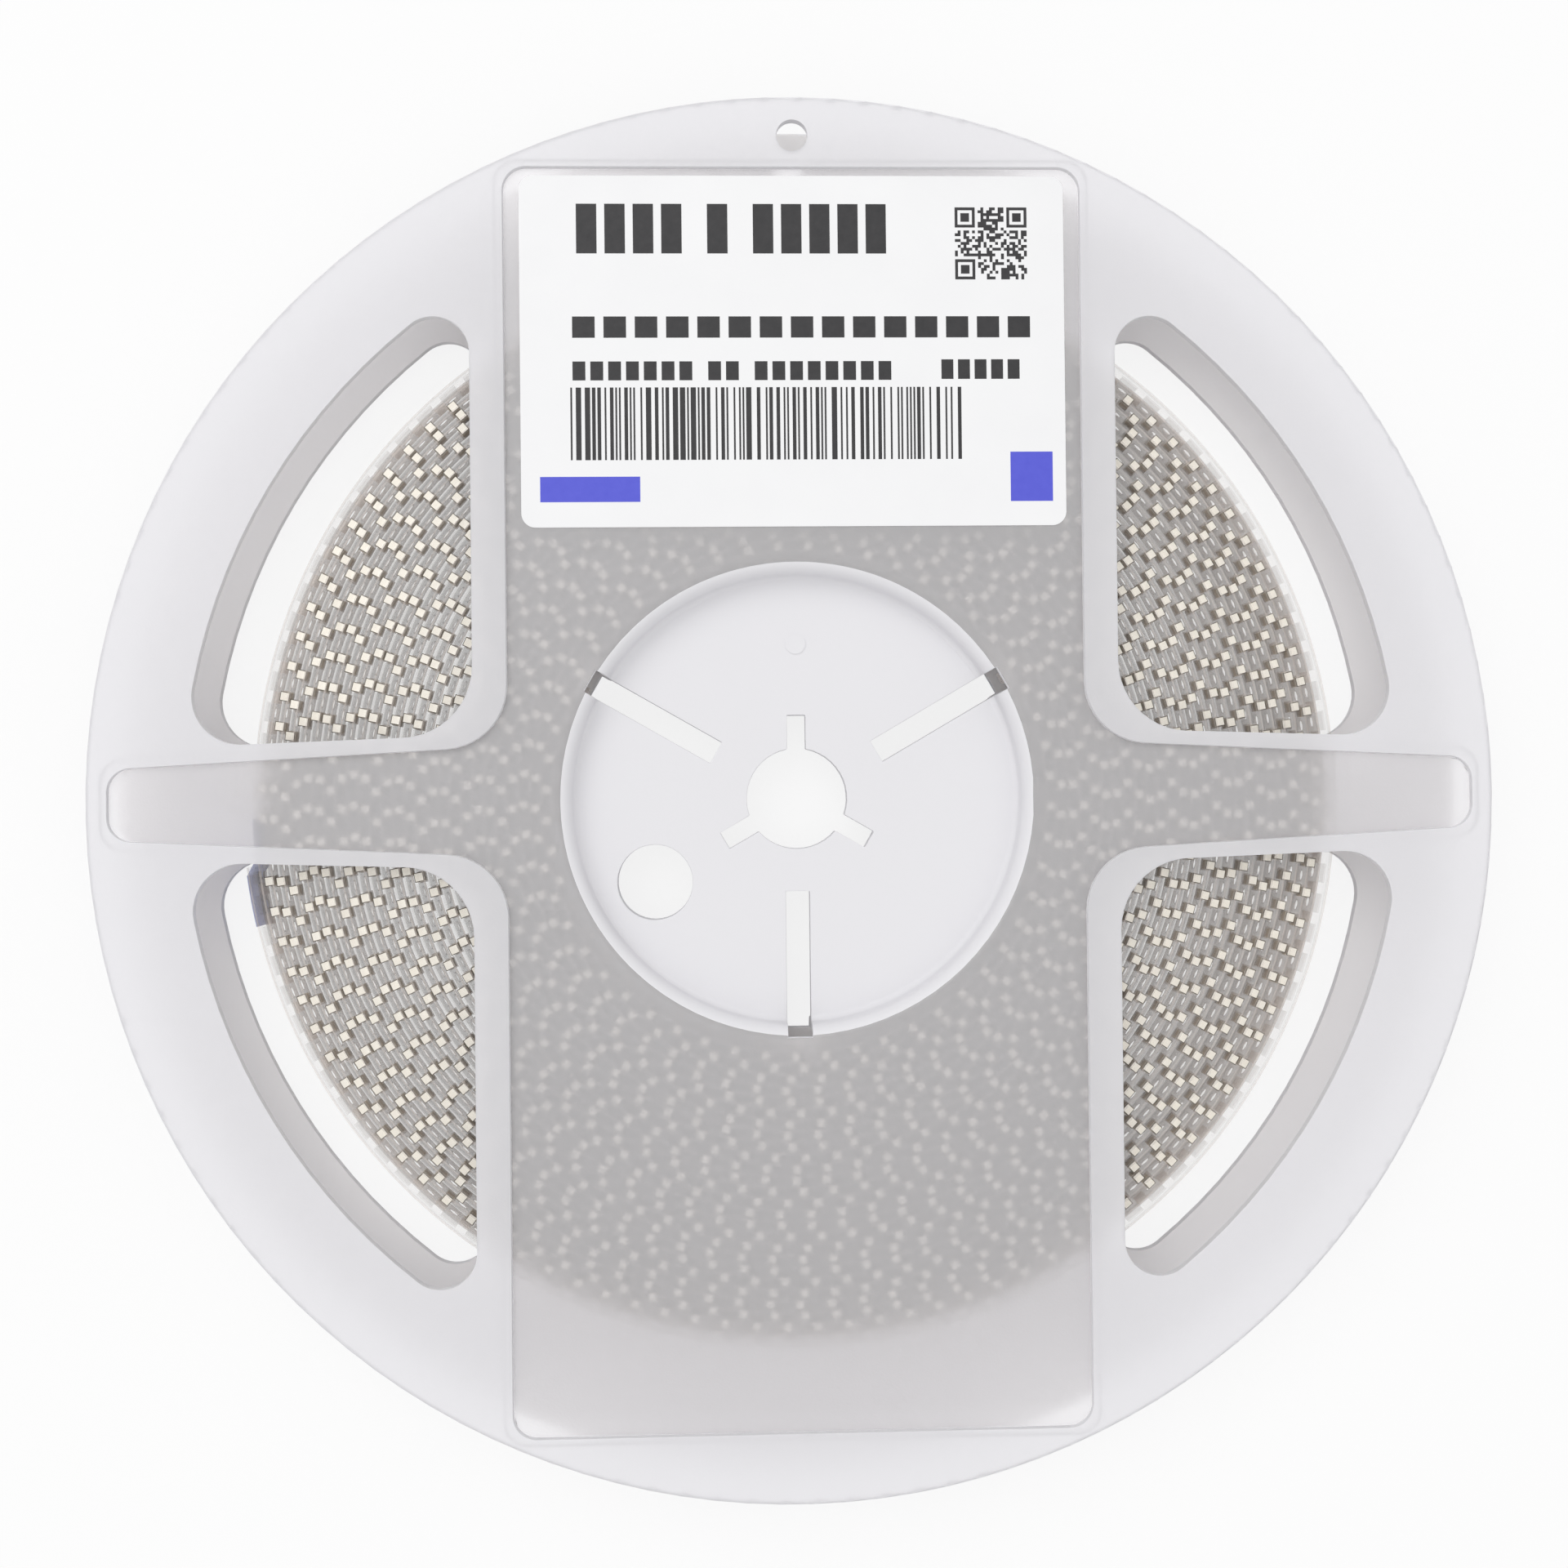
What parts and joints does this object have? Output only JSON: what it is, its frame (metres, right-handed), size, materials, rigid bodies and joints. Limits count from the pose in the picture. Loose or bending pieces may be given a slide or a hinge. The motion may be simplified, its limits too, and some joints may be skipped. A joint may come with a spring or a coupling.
{
  "type": "smd tape reel",
  "caption": "Translucent two-flange plastic reel wound with clear embossed carrier tape of surface-mount chips, with four windows, hub cup, arbor bore and paper label.",
  "frame": {"origin": "centre of the reel's footprint, on the rear flange's resting face", "axes": "+Z along the reel's axis from the rear flange to the labelled front flange; +Y towards the label"},
  "size_m": [0.178, 0.178, 0.013],
  "materials": {
    "flange_plastic": "natural translucent white, fine matt moulded surface",
    "tape_plastic": "clear formed film, glossy",
    "cover_film": "clear sealed film",
    "strip_film": "blue transparent adhesive film",
    "label_paper": "smooth white coated paper",
    "chip_ceramic": "ceramic chips with bright tinned ends"
  },
  "bodies": {
    "root": {"front_flange": "flange_plastic", "rear_flange": "flange_plastic", "carrier_tape": "tape_plastic", "cover_tape": "cover_film", "end_strip": "strip_film", "label": "label_paper", "chips_turn_07": "chip_ceramic", "chips_turn_08": "chip_ceramic", "chips_turn_09": "chip_ceramic", "chips_turn_10": "chip_ceramic", "chips_turn_11": "chip_ceramic", "chips_turn_12": "chip_ceramic", "chips_turn_13": "chip_ceramic", "chips_turn_14": "chip_ceramic", "chips_turn_15": "chip_ceramic", "chips_turn_16": "chip_ceramic", "chips_turn_17": "chip_ceramic", "chips_turn_18": "chip_ceramic", "chips_turn_19": "chip_ceramic", "chips_turn_20": "chip_ceramic", "chips_turn_21": "chip_ceramic", "chips_turn_22": "chip_ceramic", "chips_turn_23": "chip_ceramic", "chips_turn_24": "chip_ceramic", "chips_turn_25": "chip_ceramic", "chips_turn_26": "chip_ceramic"}
  },
  "joints": []
}
